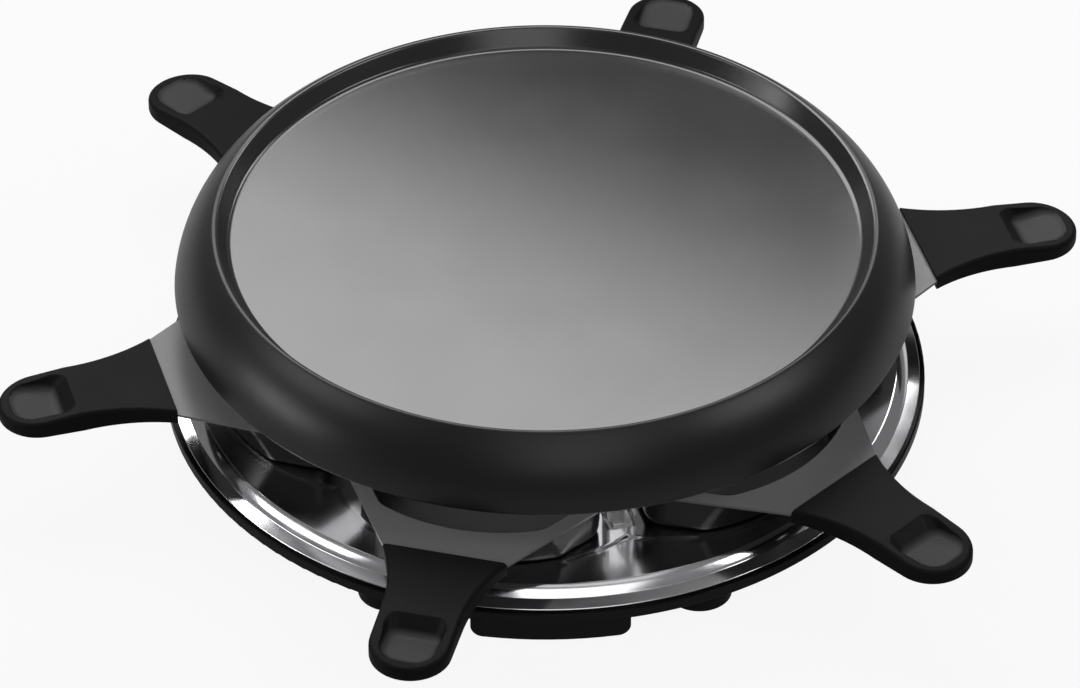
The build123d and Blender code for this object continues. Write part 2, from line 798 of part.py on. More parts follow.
with BuildPart() as pan:
    with BuildSketch(Plane.XY.offset(flange_bottom)):
        add(flange_outline.sketch)
    extrude(amount=pan_sheet)
    loft(sections=[bowl_outline(flange_top, 0, 0),
                   bowl_outline(pan_bottom, bowl_side_slope, bowl_front_slope)], ruled=True)
    fillet(pan.faces().sort_by(Axis.Z)[0].edges(), bowl_foot_fillet)
    fillet(pan.faces().filter_by(lambda f: abs(f.center().Z - flange_bottom) < fixed_gap)
           .sort_by(SortBy.AREA)[-1].inner_wires()[0].edges(), rim_fillet - pan_sheet)
with BuildPart() as bowl_hollow:
    loft(sections=[bowl_outline(flange_top, pan_sheet, pan_sheet),
                   bowl_outline(pan_bottom + pan_sheet, bowl_side_slope + pan_sheet,
                                bowl_front_slope + pan_sheet)], ruled=True)
    fillet(bowl_hollow.faces().sort_by(Axis.Z)[0].edges(), bowl_foot_fillet - pan_sheet)
with BuildPart() as pan_pressing:
    add(pan.part)
    add(bowl_hollow.part, mode=Mode.SUBTRACT)
    fillet(pan_pressing.faces().sort_by(Axis.Z)[-1].inner_wires()[0].edges(), rim_fillet)
    with BuildSketch(Plane.XY.offset(flange_top)):
        with Locations((pan_screw_reach, 0)):
            Circle(pan_screw_radius + fixed_gap)
    extrude(amount=-pan_sheet, mode=Mode.SUBTRACT)

# One handle: its plan outline and its side outline, crossed
tip_centre = handle_tip - handle_waist_half_width
with BuildPart() as handle_side:
    with BuildSketch(Plane.XZ):
        with BuildLine():
            Polyline(
                (handle_root, handle_top - handle_root_thickness),
                (handle_root, handle_top),
                (scoop_start, handle_top),
                (handle_tip, handle_top - handle_end_sag),
                (handle_tip, handle_bottom),
                (handle_waist, handle_bottom),
                close=True,
            )
        make_face()
    extrude(amount=handle_root_half_width, both=True)
end_sag_at_scoop = handle_end_sag * scoop_length / (scoop_length + scoop_margin)
with BuildPart() as scoop:
    with BuildSketch(Plane.XY.offset(handle_bottom)) as scoop_plan:
        with Locations(((scoop_start + scoop_end) / 2, 0)):
            Rectangle(scoop_length, 2 * scoop_half_width)
        fillet(scoop_plan.vertices().group_by(Axis.X)[-1], scoop_end_corner)
        fillet(scoop_plan.vertices().group_by(Axis.X)[0], scoop_corner)
    extrude(amount=2 * handle_grip_thickness)
    with BuildSketch(Plane.XZ):
        with BuildLine():
            Polyline(
                (scoop_start, handle_top),
                (scoop_start + scoop_wall_run, handle_top - scoop_depth),
                (scoop_end, handle_top - end_sag_at_scoop - scoop_end_lip),
                (scoop_end, handle_top + handle_grip_thickness),
                (scoop_start, handle_top + handle_grip_thickness),
                close=True,
            )
        make_face()
    extrude(amount=handle_root_half_width, both=True, mode=Mode.INTERSECT)
with BuildPart() as handle:
    with BuildSketch(Plane.XY.offset(handle_bottom)) as handle_plan:
        with BuildLine() as plan_line:
            Line((handle_root, -handle_root_half_width), (handle_root, handle_root_half_width))
            for side in (1, -1):
                TangentArc(
                    (handle_waist, side * handle_waist_half_width),
                    (handle_root, side * handle_root_half_width),
                    tangent=(-1, 0),
                )
                Line(
                    (handle_waist, side * handle_waist_half_width),
                    (tip_centre, side * handle_waist_half_width),
                )
            ThreePointArc(
                (tip_centre, handle_waist_half_width),
                (handle_tip, 0),
                (tip_centre, -handle_waist_half_width),
            )
        make_face()
    extrude(amount=handle_grip_thickness)
    add(handle_side.part, mode=Mode.INTERSECT)
    fillet(handle.edges().filter_by(lambda e: e.center().X > handle_root + fixed_gap
                                    and e.center().Z > handle_top - handle_end_sag - fixed_gap),
           handle_top_edge)
    fillet(handle.edges().filter_by(lambda e: e.center().X > handle_root + fixed_gap
                                    and e.center().Z < handle_top - handle_end_sag - handle_edge),
           handle_edge)
    add(scoop.part, mode=Mode.SUBTRACT)
    with BuildSketch(Plane.XY.offset(flange_bottom - fixed_gap / 2)):
        with Locations((handle_root, 0)):
            Rectangle(2 * (tongue_in_handle + fixed_gap),
                      2 * (tongue_in_handle_half_width + fixed_gap))
    extrude(amount=pan_sheet + fixed_gap, mode=Mode.SUBTRACT)
    with BuildSketch(Plane.XY.offset(handle_bottom)):
        with Locations((pan_screw_reach, 0)):
            Circle(pan_screw_head_radius + rest_gap)
    extrude(amount=pan_screw_seat - handle_bottom, mode=Mode.SUBTRACT)
    with BuildSketch(Plane.XY.offset(handle_bottom)):
        with Locations((pan_screw_reach, 0)):
            Circle(pan_screw_radius + fixed_gap)
    extrude(amount=pan_screw_seat + pan_screw_length + fixed_gap - handle_bottom,
            mode=Mode.SUBTRACT)

with BuildPart() as pan_screw:
    with BuildSketch(Plane.XY.offset(pan_screw_seat)):
        with Locations((pan_screw_reach, 0)):
            Circle(pan_screw_head_radius)
    extrude(amount=-pan_screw_head_height)
    with BuildSketch(Plane.XY.offset(pan_screw_seat)):
        with Locations((pan_screw_reach, 0)):
            Circle(pan_screw_radius)
    extrude(amount=pan_screw_length)

for number, azimuth in enumerate(pan_azimuths, start=1):
    for piece, name in ((pan_pressing, "pan"), (handle, "pan_handle"), (pan_screw, "pan_screw")):
        with BuildPart() as placed:
            add(piece.part, rotation=(0, 0, azimuth))
        keep(placed, f"{name}_{number}")
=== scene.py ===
import json
import math
import bpy
from mathutils import Matrix, Vector


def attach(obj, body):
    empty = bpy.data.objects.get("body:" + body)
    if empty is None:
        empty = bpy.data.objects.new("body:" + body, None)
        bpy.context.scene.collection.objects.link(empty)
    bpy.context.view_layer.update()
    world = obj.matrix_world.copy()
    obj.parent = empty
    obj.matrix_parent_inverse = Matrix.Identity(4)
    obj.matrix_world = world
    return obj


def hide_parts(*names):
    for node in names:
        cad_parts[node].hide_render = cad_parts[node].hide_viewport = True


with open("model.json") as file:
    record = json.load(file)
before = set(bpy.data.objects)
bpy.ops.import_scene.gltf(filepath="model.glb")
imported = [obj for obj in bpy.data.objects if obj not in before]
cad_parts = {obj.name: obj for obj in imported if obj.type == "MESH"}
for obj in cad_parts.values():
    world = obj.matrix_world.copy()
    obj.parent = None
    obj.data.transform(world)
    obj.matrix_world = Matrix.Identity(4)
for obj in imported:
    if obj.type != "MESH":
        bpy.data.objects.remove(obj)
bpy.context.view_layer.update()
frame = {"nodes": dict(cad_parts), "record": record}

# A round raclette grill: coated plate on top, six pans on a bright tray, black base.
print("frame loaded,", len(frame["nodes"]), "nodes")

mm = 0.001
panCount = 6
frontPanAzimuth = -104.2


def panAngle(number):
    # direction of a pan seen from the middle, counted from the front left one
    return math.radians(frontPanAzimuth + number * 360 / panCount)


# node helpers

middleTone = 0.5


def newGroup(name, inputs, outputs):
    group = bpy.data.node_groups.new(name, "ShaderNodeTree")
    for label, kind, value in inputs:
        socket = group.interface.new_socket(label, in_out="INPUT", socket_type="NodeSocket" + kind)
        if value is not None:
            socket.default_value = value
    for label, kind in outputs:
        group.interface.new_socket(label, in_out="OUTPUT", socket_type="NodeSocket" + kind)
    return group, group.nodes.new("NodeGroupInput"), group.nodes.new("NodeGroupOutput")


def mathNode(tree, operation, first, second, clamp=False):
    node = tree.nodes.new("ShaderNodeMath")
    node.operation = operation
    node.use_clamp = clamp
    for index, value in enumerate((first, second)):
        if isinstance(value, (int, float)):
            node.inputs[index].default_value = value
        else:
            tree.links.new(value, node.inputs[index])
    return node.outputs[0]


def rampNode(tree, factor, edges, fromValue=0.0, toValue=1.0):
    # a smooth change of value between two edges of the factor
    node = tree.nodes.new("ShaderNodeMapRange")
    node.interpolation_type = "SMOOTHSTEP"
    tree.links.new(factor, node.inputs["Value"])
    for label, value in zip(("From Min", "From Max", "To Min", "To Max"), (*edges, fromValue, toValue)):
        node.inputs[label].default_value = value
    return node.outputs["Result"]


def noiseNode(tree, vector, scale, detail, roughness):
    node = tree.nodes.new("ShaderNodeTexNoise")
    tree.links.new(vector, node.inputs["Vector"])
    for label, value in (("Scale", scale), ("Detail", detail), ("Roughness", roughness)):
        node.inputs[label].default_value = value
    return node.outputs["Fac"]


def scaledVector(tree, vector, scaleSocket):
    node = tree.nodes.new("ShaderNodeVectorMath")
    node.operation = "SCALE"
    tree.links.new(vector, node.inputs[0])
    tree.links.new(scaleSocket, node.inputs["Scale"])
    return node.outputs[0]


def evenTone(tree, mask, amount):
    # a mask as a tone around zero
    return mathNode(tree, "MULTIPLY", mathNode(tree, "SUBTRACT", mask, middleTone), amount)


# effects that several finishes share

speckleSettings = {"fine": {"scale": 1.0, "detail": 3.0, "roughness": 0.6},
                   "coarse": {"scale": 0.16, "detail": 2.0, "roughness": 0.5},
                   "cloudShare": 0.5, "dotScale": 0.55, "dotEdges": (0.05, 0.3), "dotTone": 0.35}


def buildSpeckle():
    # fine two-tone speckle of a sprayed non-stick coat
    settings = speckleSettings
    group, given, out = newGroup("coatSpeckle", [("Vector", "Vector", None), ("Scale", "Float", 1.0),
                                                 ("Amount", "Float", 0.3)],
                                 [("Tone", "Float"), ("Height", "Float")])
    place = scaledVector(group, given.outputs["Vector"], given.outputs["Scale"])
    fine = noiseNode(group, place, **settings["fine"])
    coarse = noiseNode(group, place, **settings["coarse"])
    dots = group.nodes.new("ShaderNodeTexVoronoi")
    dots.inputs["Scale"].default_value = settings["dotScale"]
    group.links.new(place, dots.inputs["Vector"])
    grain = mathNode(group, "SUBTRACT", fine, middleTone)
    cloud = evenTone(group, coarse, settings["cloudShare"])
    spots = rampNode(group, dots.outputs["Distance"], settings["dotEdges"], settings["dotTone"], 0.0)
    mixed = mathNode(group, "ADD", mathNode(group, "ADD", grain, cloud), spots)
    tone = mathNode(group, "MULTIPLY", mixed, given.outputs["Amount"])
    group.links.new(tone, out.inputs["Tone"])
    group.links.new(fine, out.inputs["Height"])
    return group


grainSettings = {"fine": {"scale": 1.0, "detail": 4.0, "roughness": 0.6},
                 "slow": {"scale": 0.02, "detail": 2.0, "roughness": 0.5}}


def buildGrain():
    # moulded or rolled surface grain and slow unevenness
    group, given, out = newGroup("surfaceGrain", [("Vector", "Vector", None), ("Scale", "Float", 1.0),
                                                  ("Stretch", "Vector", (1, 1, 1))],
                                 [("Fine", "Float"), ("Slow", "Float")])
    stretched = group.nodes.new("ShaderNodeVectorMath")
    stretched.operation = "MULTIPLY"
    group.links.new(given.outputs["Vector"], stretched.inputs[0])
    group.links.new(given.outputs["Stretch"], stretched.inputs[1])
    place = scaledVector(group, stretched.outputs[0], given.outputs["Scale"])
    group.links.new(noiseNode(group, place, **grainSettings["fine"]), out.inputs["Fine"])
    group.links.new(noiseNode(group, place, **grainSettings["slow"]), out.inputs["Slow"])
    return group


smudgeSettings = {"cloud": {"scale": 38.0, "detail": 3.0, "roughness": 0.6}, "markEdges": (0.42, 0.68),
                  "rings": {"Scale": 260.0, "Distortion": 3.0, "Detail": 3.0, "Detail Scale": 9.0}}


def buildSmudge():
    # faint wipe marks and hairlines on polished sheet
    group, given, out = newGroup("wipeMarks", [("Vector", "Vector", None)],
                                 [("Marks", "Float"), ("Hairlines", "Float")])
    cloud = noiseNode(group, given.outputs["Vector"], **smudgeSettings["cloud"])
    wave = group.nodes.new("ShaderNodeTexWave")
    wave.wave_type = "RINGS"
    wave.rings_direction = "Z"
    for label, value in smudgeSettings["rings"].items():
        wave.inputs[label].default_value = value
    group.links.new(given.outputs["Vector"], wave.inputs["Vector"])
    group.links.new(rampNode(group, cloud, smudgeSettings["markEdges"]), out.inputs["Marks"])
    group.links.new(wave.outputs["Fac"], out.inputs["Hairlines"])
    return group


speckle, grain, smudge = buildSpeckle(), buildGrain(), buildSmudge()


# material helpers

toneRange = (0.45, 1.55)  # shares of a colour between which its tone moves
shaderSockets = {"specular": "Specular IOR Level", "metallic": "Metallic"}


def startMaterial(name, color, roughness, **values):
    material = bpy.data.materials.new(name)
    material.use_nodes = True
    tree = material.node_tree
    shader = tree.nodes["Principled BSDF"]
    shader.inputs["Base Color"].default_value = (*color, 1.0)
    shader.inputs["Roughness"].default_value = roughness
    for label, value in values.items():
        shader.inputs[shaderSockets[label]].default_value = value
    place = tree.nodes.new("ShaderNodeTexCoord").outputs["Object"]
    return material, tree, shader, place


def groupNode(tree, group, place, **values):
    node = tree.nodes.new("ShaderNodeGroup")
    node.node_tree = group
    tree.links.new(place, node.inputs["Vector"])
    for label, value in values.items():
        node.inputs[label].default_value = value
    return node


def tintedColor(tree, shader, color, tone):
    # colour lifted or lowered by a tone around zero
    mix = tree.nodes.new("ShaderNodeMixRGB")
    mix.blend_type = "MIX"
    for label, share in zip(("Color1", "Color2"), toneRange):
        mix.inputs[label].default_value = (*(min(1.0, part * share) for part in color), 1)
    tree.links.new(mathNode(tree, "ADD", tone, middleTone, clamp=True), mix.inputs["Fac"])
    tree.links.new(mix.outputs["Color"], shader.inputs["Base Color"])


def darkenColor(tree, factor):
    # the base colour already linked, multiplied by a factor
    shader = tree.nodes["Principled BSDF"]
    darker = tree.nodes.new("ShaderNodeVectorMath")
    darker.operation = "SCALE"
    tree.links.new(shader.inputs["Base Color"].links[0].from_socket, darker.inputs[0])
    tree.links.new(factor, darker.inputs["Scale"])
    tree.links.new(darker.outputs[0], shader.inputs["Base Color"])


def roughen(tree, mask, spread, least):
    # roughness from its least value up by a spread where the mask is full
    rough = mathNode(tree, "ADD", mathNode(tree, "MULTIPLY", mask, spread), least)
    tree.links.new(rough, tree.nodes["Principled BSDF"].inputs["Roughness"])


def addBump(tree, shader, height, strength, depth):
    bump = tree.nodes.new("ShaderNodeBump")
    bump.inputs["Strength"].default_value = strength
    bump.inputs["Distance"].default_value = depth * mm
    tree.links.new(height, bump.inputs["Height"])
    tree.links.new(bump.outputs["Normal"], shader.inputs["Normal"])


def objectParts(tree):
    # the three parts of the place on the piece
    parts = tree.nodes.new("ShaderNodeSeparateXYZ")
    tree.links.new(tree.nodes["Texture Coordinate"].outputs["Object"], parts.inputs[0])
    return parts.outputs


# finishes

coatGrain = {"slowScale": 1200.0, "spread": 0.08, "bump": 0.12, "depth": 0.2}
heightPaintedLightGrain = {"amount": 0.2, "scale": 3000.0}
sheetGrain = {"spread": 0.05, "bump": 0.004, "depth": 0.1}
plasticGrain = {"tone": 0.35, "spread": 0.1, "depth": 0.2}
metalGrain = {"scale": 1800.0, "tone": 0.3, "spread": 0.12, "bump": 0.05, "depth": 0.1}


def coatMaterial(name, color, roughness, specular, amount, scale):
    # sprayed coat of the plate, base ring and pans
    material, tree, shader, place = startMaterial(name, color, roughness, specular=specular)
    spots = groupNode(tree, speckle, place, Scale=scale, Amount=amount)
    tintedColor(tree, shader, color, spots.outputs["Tone"])
    slow = groupNode(tree, grain, place, Scale=coatGrain["slowScale"]).outputs["Slow"]
    roughen(tree, slow, coatGrain["spread"], roughness - coatGrain["spread"] / 2)
    addBump(tree, shader, spots.outputs["Height"], coatGrain["bump"], coatGrain["depth"])
    return material


def heightPaintedLightMaterial(name, color, roughness, specular, heights, lowTone=1.0, highTone=1.0):
    # a coat whose colour is scaled between two heights, to paint in shade or a reflection
    material = coatMaterial(name, color, roughness, specular, **heightPaintedLightGrain)
    tree = material.node_tree
    edges = [height * mm for height in heights]
    darkenColor(tree, rampNode(tree, objectParts(tree)["Z"], edges, lowTone, highTone))
    return material


def mirrorMaterial(name, color, roughness):
    material, tree, shader, place = startMaterial(name, color, roughness, metallic=1.0)
    marks = groupNode(tree, smudge, place)
    roughen(tree, marks.outputs["Marks"], sheetGrain["spread"], roughness)
    addBump(tree, shader, marks.outputs["Hairlines"], sheetGrain["bump"], sheetGrain["depth"])
    return material


def plasticMaterial(name, color, roughness, specular, bump, scale=2600.0):
    material, tree, shader, place = startMaterial(name, color, roughness, specular=specular)
    texture = groupNode(tree, grain, place, Scale=scale)
    fine, slow = texture.outputs["Fine"], texture.outputs["Slow"]
    tintedColor(tree, shader, color, evenTone(tree, fine, plasticGrain["tone"]))
    roughen(tree, slow, plasticGrain["spread"], roughness - plasticGrain["spread"] / 2)
    addBump(tree, shader, fine, bump, plasticGrain["depth"])
    return material


def metalMaterial(name, color, roughness, stretch=(1, 1, 1)):
    material, tree, shader, place = startMaterial(name, color, roughness, metallic=1.0)
    fine = groupNode(tree, grain, place, Scale=metalGrain["scale"], Stretch=stretch).outputs["Fine"]
    tintedColor(tree, shader, color, evenTone(tree, fine, metalGrain["tone"]))
    roughen(tree, fine, metalGrain["spread"], roughness - metalGrain["spread"] / 2)
    addBump(tree, shader, fine, metalGrain["bump"], metalGrain["depth"])
    return material


finishes = {
    "plate_face": coatMaterial("plateFace", (0.012, 0.012, 0.0118), 0.18, specular=0.7,
                               amount=0.35, scale=2600.0),
    "plate_coat": coatMaterial("plateCoat", (0.008, 0.008, 0.008), 0.35, specular=0.32,
                               amount=0.3, scale=2600.0),
    # painted shade: the bowls of the pans are painted ten times darker than their flat flanges, for the shade
    # under the plate
    "pan_coat": heightPaintedLightMaterial("panCoatPaintedBowlShade", (0.12, 0.12, 0.124), 0.3, specular=0.3,
                                heights=(45.2, 46.6), lowTone=0.1),
    # painted reflection: the foot of the base ring is painted four times lighter than its wall, for the pale
    # floor caught on its lower edge
    "black_gloss": heightPaintedLightMaterial("baseBlackPaintedFootGlint", (0.016, 0.016, 0.016), 0.25, specular=0.05,
                                   heights=(14.6, 15.8), highTone=0.25),
    "mirror_sheet": mirrorMaterial("mirrorSheet", (0.8, 0.8, 0.82), 0.12),
    "bracket_sheet": metalMaterial("bracketSheet", (0.7, 0.7, 0.71), 0.16, stretch=(1, 1, 0.1)),
    "bare_casting": metalMaterial("bareCasting", (0.85, 0.85, 0.85), 0.5),
    "steel": metalMaterial("screwSteel", (0.62, 0.62, 0.63), 0.28),
    "element_tube": metalMaterial("elementTube", (0.14, 0.13, 0.125), 0.45),
    "black_plastic": plasticMaterial("coverBlack", (0.012, 0.012, 0.012), 0.5, specular=0.3, bump=0.1),
    "handle_plastic": plasticMaterial("handleBlack", (0.006, 0.006, 0.0063), 0.5, specular=0.045, bump=0.1),
    "rubber": plasticMaterial("padRubber", (0.012, 0.012, 0.012), 0.75, specular=0.2, bump=0.2,
                              scale=1600.0),
    "ceramic": plasticMaterial("bushingCeramic", (0.78, 0.75, 0.68), 0.55, specular=0.4, bump=0.12,
                               scale=2200.0),
    "white_plastic": plasticMaterial("blockWhite", (0.72, 0.72, 0.68), 0.45, specular=0.4, bump=0.05),
    "wire_brown": plasticMaterial("wireBrown", (0.2, 0.08, 0.035), 0.4, specular=0.4, bump=0.03),
    "wire_blue": plasticMaterial("wireBlue", (0.03, 0.1, 0.4), 0.4, specular=0.4, bump=0.03),
    "wire_green": plasticMaterial("wireGreen", (0.12, 0.38, 0.08), 0.4, specular=0.4, bump=0.03),
}

slotOf = {item["node"]: item["material_slot"] for item in frame["record"]["subparts"]}
for node, piece in frame["nodes"].items():
    for index in range(len(piece.material_slots)):
        piece.material_slots[index].material = finishes[slotOf[node]]
print("finishes set on the CAD nodes")


# modelling helpers, in millimetres

sameSpot = 0.01
smallestGap = 0.1


def clearPick(kind):
    # in edit mode: nothing selected, and elements of this kind selected from here on
    bpy.ops.mesh.select_mode(type=kind)
    bpy.ops.mesh.select_all(action="DESELECT")
    bpy.ops.object.mode_set(mode="OBJECT")


def pickVertices(piece, test):
    # only the vertices whose place passes the test
    clearPick("VERT")
    for vertex in piece.data.vertices:
        vertex.select = test(vertex.co / mm)
    bpy.ops.object.mode_set(mode="EDIT")


def pickFaces(piece, test):
    # only the faces whose middle and normal pass the test
    clearPick("FACE")
    for face in piece.data.polygons:
        face.select = test(face.center / mm, face.normal)
    bpy.ops.object.mode_set(mode="EDIT")


def pickEdges(piece, test):
    # only the edges whose two ends pass the test
    clearPick("EDGE")
    spots = [vertex.co / mm for vertex in piece.data.vertices]
    for edge in piece.data.edges:
        edge.select = test(spots[edge.vertices[0]], spots[edge.vertices[1]])
    bpy.ops.object.mode_set(mode="EDIT")


def takeUp(piece):
    # the only object selected, and the one that operators work on
    bpy.ops.object.select_all(action="DESELECT")
    piece.select_set(True)
    bpy.context.view_layer.objects.active = piece


def applyModifier(piece, kind, **values):
    modifier = piece.modifiers.new(kind.lower(), kind)
    for label, value in values.items():
        setattr(modifier, label, value)
    bpy.context.view_layer.objects.active = piece
    bpy.ops.object.modifier_apply(modifier=modifier.name)


def joinOrCut(piece, other, operation):
    applyModifier(piece, "BOOLEAN", operation=operation, object=other, solver="EXACT")
    bpy.data.objects.remove(other)


def drawnLine(name, points):
    # one vertex extruded from point to point; edit mode stays on
    bpy.ops.object.select_all(action="DESELECT")
    bpy.ops.mesh.primitive_plane_add(size=mm)
    piece = bpy.context.object
    piece.name = name
    bpy.ops.object.mode_set(mode="EDIT")
    bpy.ops.mesh.select_mode(type="VERT")
    bpy.ops.mesh.merge(type="CENTER")
    bpy.ops.transform.translate(value=[part * mm for part in points[0]])
    for last, point in zip(points, points[1:]):
        step = [(new - old) * mm for old, new in zip(last, point)]
        bpy.ops.mesh.extrude_vertices_move(TRANSFORM_OT_translate={"value": step})
    return piece


def turnedPiece(name, profile, rounds, steps=288):
    # a profile of reach and height, its corners rounded, spun round the axis
    piece = drawnLine(name, [(reach, 0, height) for reach, height in profile])
    for corner, size, segments in rounds:
        place = Vector((profile[corner][0], 0, profile[corner][1]))
        pickVertices(piece, lambda spot: (spot - place).length < sameSpot)
        bpy.ops.mesh.bevel(affect="VERTICES", offset=size * mm, segments=segments)
    bpy.ops.mesh.select_all(action="SELECT")
    bpy.ops.mesh.spin(steps=steps, angle=math.tau, center=(0, 0, 0), axis=(0, 0, 1))
    bpy.ops.mesh.select_all(action="SELECT")
    bpy.ops.mesh.remove_doubles(threshold=sameSpot * mm)
    bpy.ops.mesh.normals_make_consistent(inside=False)
    bpy.ops.object.mode_set(mode="OBJECT")
    return piece


def smoothPiece(piece, angle=40):
    takeUp(piece)
    bpy.ops.object.shade_smooth_by_angle(angle=math.radians(angle))
    applyModifier(piece, "WEIGHTED_NORMAL", keep_sharp=True)


def addMaterials(piece, *names):
    piece.data.materials.clear()
    for name in names:
        piece.data.materials.append(finishes[name])


def settle(piece, body, slot, *replaced):
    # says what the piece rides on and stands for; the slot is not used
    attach(piece, body)
    if replaced:
        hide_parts(*replaced)


# the grill plate, turned with a narrow crest and a deep curved skirt

plateShape = {"top": 87.3, "underside": 82.8, "flat": 135.9, "crest": 141.0, "skirtCentre": 116.2,
              "skirtRound": 43.4, "widest": 60.8, "bottom": 64.6, "wall": 3.4, "hollowTop": 88.0,
              "hollowRun": 2.6, "wellWall": 4.0, "skirtSteps": 14}
plateRounds = {"well": (1.5, 6), "crest": (2.2, 8), "hem": (1.3, 5)}  # size and segments
plateBosses = {"count": 3, "reach": 106.5, "radius": 5.0, "bottom": 75.5, "sides": 40}
bareZones = {"down": -0.9, "inward": -0.2, "inwardFrom": 145, "bossesWithin": 120}


def skirtHeight(radius, rounding):
    return plateShape["widest"] + math.sqrt(rounding ** 2 - (radius - plateShape["skirtCentre"]) ** 2)


def skirtReach(height, rounding):
    return plateShape["skirtCentre"] + math.sqrt(rounding ** 2 - (height - plateShape["widest"]) ** 2)


def turnPlate():
    shape = plateShape
    outer, inner = shape["skirtRound"], shape["skirtRound"] - shape["wall"]
    crestTop = skirtHeight(shape["crest"], outer)
    profile = [(0, shape["underside"]), (0, shape["top"]), (shape["flat"], shape["top"])]
    well = len(profile) - 1
    profile.append((shape["crest"], crestTop))
    crest = len(profile) - 1
    for step in range(1, shape["skirtSteps"] + 1):
        height = crestTop + (shape["bottom"] - crestTop) * step / shape["skirtSteps"]
        profile.append((skirtReach(height, outer), height))
    hem = len(profile) - 1
    profile.append((skirtReach(shape["bottom"], inner), shape["bottom"]))
    for step in range(1, shape["skirtSteps"] + 1):
        height = shape["bottom"] + (shape["hollowTop"] - shape["bottom"]) * step / shape["skirtSteps"]
        profile.append((skirtReach(height, inner), height))
    profile.append((profile[-1][0] - shape["hollowRun"], shape["hollowTop"]))
    profile.append((shape["flat"] + shape["wellWall"], shape["underside"]))
    profile.append((0, shape["underside"]))
    rounds = [(well, *plateRounds["well"]), (crest, *plateRounds["crest"])]
    rounds += [(corner, *plateRounds["hem"]) for corner in (hem, hem + 1)]
    return turnedPiece("plateCasting", profile, rounds)


def addBosses(piece):
    # bosses on the underside, midway between pans, that sit on the bracket pads
    bpy.ops.object.mode_set(mode="EDIT")
    boss, depth = plateBosses, plateShape["underside"] - plateBosses["bottom"]
    for number in range(boss["count"]):
        angle = math.radians(frontPanAzimuth + 180 / panCount + number * 360 / boss["count"])
        bpy.ops.mesh.select_all(action="DESELECT")
        bpy.ops.mesh.primitive_cylinder_add(
            vertices=boss["sides"], radius=boss["radius"] * mm, depth=depth * mm, location=(
                boss["reach"] * math.cos(angle) * mm, boss["reach"] * math.sin(angle) * mm,
                (plateShape["underside"] - depth / 2) * mm))
    bpy.ops.object.mode_set(mode="OBJECT")


def coatPlate(piece):
    # bare casting underneath, a smoother coat in the well than on crest and skirt
    addMaterials(piece, "plate_coat", "bare_casting", "plate_face")
    for face in piece.data.polygons:
        reach = face.center.xy.length / mm
        outward = face.center.xy.normalized().dot(face.normal.xy)
        inside = outward < bareZones["inward"] and reach > bareZones["inwardFrom"]
        onBoss = face.center.z < plateShape["underside"] * mm and reach < bareZones["bossesWithin"]
        if face.normal.z < bareZones["down"] or inside or onBoss:
            face.material_index = 1
        else:
            face.material_index = 2 if reach < plateShape["crest"] else 0


def buildPlate():
    piece = turnPlate()
    addBosses(piece)
    smoothPiece(piece)
    coatPlate(piece)
    settle(piece, "grill_plate", "plate_coat", "grill_plate")


buildPlate()
print("grill plate turned")


# the reflector tray, turned with a sloping shoulder, and six raised lobes

trayShape = {"floor": 22.2, "sheet": 1.0, "floorRadius": 152.7, "turnDown": 0.15, "shoulder": 157.2,
             "shoulderSlopes": (27, 52), "shoulderSteps": 12, "groove": 0.2, "edgeTop": 16.4, "edge": 162.6,
             "edgeWidth": 1.5, "rest": 15.6}
trayRounds = {"turn": (0.3, 3), "groove": (0.15, 2), "edge": (0.3, 3)}  # size and segments
lobeShape = {"centre": 69.55, "radius": 74.45, "rise": 0.8, "ramp": 2.8, "sunkShare": 0.5, "sides": 180,
             "round": (0.7, 3), "flatAngle": 1, "facingUp": 0.99}


def trayShoulder(shape):
    # an arc from the shallow slope at the floor to the steep one at the groove
    slopes = [math.radians(value) for value in shape["shoulderSlopes"]]
    bend = (shape["shoulder"] - shape["floorRadius"]) / (math.sin(slopes[1]) - math.sin(slopes[0]))
    arc = []
    for step in range(shape["shoulderSteps"] + 1):
        slope = slopes[0] + (slopes[1] - slopes[0]) * step / shape["shoulderSteps"]
        arc.append((shape["floorRadius"] + bend * (math.sin(slope) - math.sin(slopes[0])),
                    shape["floor"] - shape["turnDown"] - bend * (math.cos(slopes[0]) - math.cos(slope))))
    return arc


def turnTray():
    shape = trayShape
    arc = trayShoulder(shape)
    bottom, under = arc[-1][1] - shape["groove"], shape["floor"] - shape["sheet"]
    turn = (shape["floorRadius"] - shape["turnDown"] / math.tan(math.radians(shape["shoulderSlopes"][0])),
            shape["floor"])
    groove = (shape["shoulder"] + shape["groove"], bottom)
    edge = (shape["edge"], shape["edgeTop"])
    rest = [(shape["edge"], shape["rest"]), (shape["edge"] - shape["edgeWidth"], shape["rest"])]
    back = [(shape["shoulder"], bottom - shape["sheet"]), (shape["floorRadius"], under), (0, under)]
    profile = [(0, under), (0, shape["floor"]), turn, *arc, groove, edge, *rest, *back]
    rounds = [(profile.index(corner), *trayRounds[name])
              for corner, name in ((turn, "turn"), (groove, "groove"), (edge, "edge"))]
    return turnedPiece("reflectorSheet", profile, rounds)


